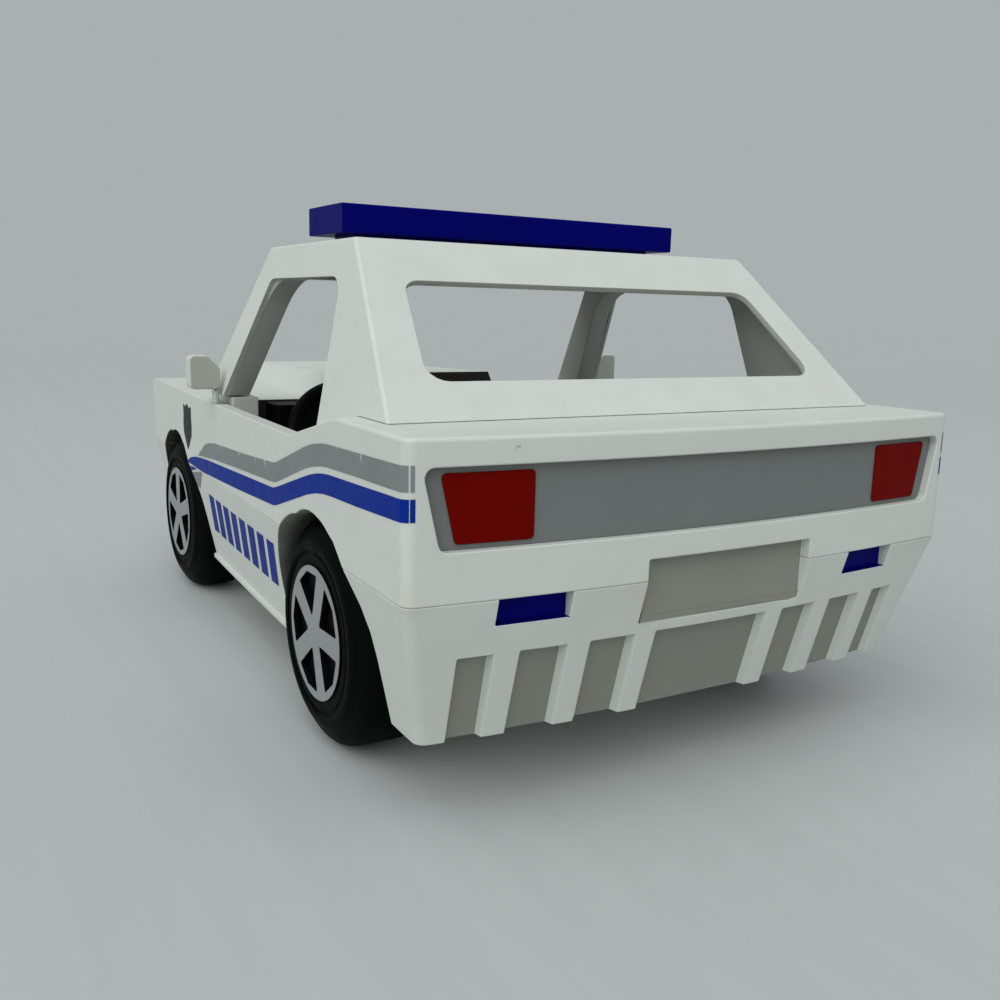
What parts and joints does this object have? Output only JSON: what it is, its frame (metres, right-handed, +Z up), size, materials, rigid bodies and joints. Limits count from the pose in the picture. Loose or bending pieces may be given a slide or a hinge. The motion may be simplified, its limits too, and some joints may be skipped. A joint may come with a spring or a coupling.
{
  "type": "toy police car",
  "caption": "White toy police car with an open lift-off cabin, blue roof light bar, grey rear panel with red lamps, and rolling wheels.",
  "frame": {"origin": "on the ground under the middle of the car's bounding box", "axes": "+Z up, front towards -Y, rear towards +Y, left side of the car towards +X"},
  "size_m": [0.1026, 0.186, 0.0861],
  "materials": {
    "white_plastic": "satin moulded",
    "black_plastic": "moulded",
    "grey_plastic": "moulded",
    "blue_plastic": "moulded",
    "red_plastic": "moulded",
    "lamp_plastic": "moulded",
    "silver_plastic": "silver paint",
    "black_tyre": "moulded",
    "axle_steel": "drawn"
  },
  "bodies": {
    "car_body": {"body_shell": "white_plastic", "chassis": "white_plastic", "rear_panel": "grey_plastic", "tail_lamp_left": "red_plastic", "tail_lamp_right": "red_plastic", "rear_reflector_left": "blue_plastic", "rear_reflector_right": "blue_plastic", "grille_panel": "black_plastic", "headlamp_left": "lamp_plastic", "headlamp_right": "lamp_plastic", "mirror_left": "white_plastic", "mirror_right": "white_plastic", "interior_tub": "black_plastic", "seat_left": "black_plastic", "seat_right": "black_plastic", "dashboard": "black_plastic", "steering_column": "black_plastic", "chassis_screws": "axle_steel"},
    "cabin": {"cabin": "white_plastic", "light_bar": "blue_plastic"},
    "steering": {"steering_wheel": "black_plastic"},
    "front_wheelset": {"front_axle": "axle_steel", "tyre_front_left": "black_tyre", "tyre_front_right": "black_tyre", "hub_front_left": "black_plastic", "hub_front_right": "black_plastic", "hubcap_front_left": "silver_plastic", "hubcap_front_right": "silver_plastic"},
    "rear_wheelset": {"rear_axle": "axle_steel", "tyre_rear_left": "black_tyre", "tyre_rear_right": "black_tyre", "hub_rear_left": "black_plastic", "hub_rear_right": "black_plastic", "hubcap_rear_left": "silver_plastic", "hubcap_rear_right": "silver_plastic"}
  },
  "joints": [
    {"name": "cabin_lift", "type": "slide", "parent": "car_body", "child": "cabin", "axis": [0, 0, 1], "range_m": [0, 0.06]},
    {"name": "steering_wheel_turn", "type": "hinge", "parent": "car_body", "child": "steering", "pos_m": [0.021, 0.002, 0.042], "axis": [0, 0.9063, 0.4226], "continuous": true},
    {"name": "front_axle_spin", "type": "hinge", "parent": "car_body", "child": "front_wheelset", "pos_m": [0, -0.05291, 0.0185], "axis": [1, 0, 0], "continuous": true},
    {"name": "rear_axle_spin", "type": "hinge", "parent": "car_body", "child": "rear_wheelset", "pos_m": [0, 0.05046, 0.0185], "axis": [1, 0, 0], "continuous": true}
  ]
}
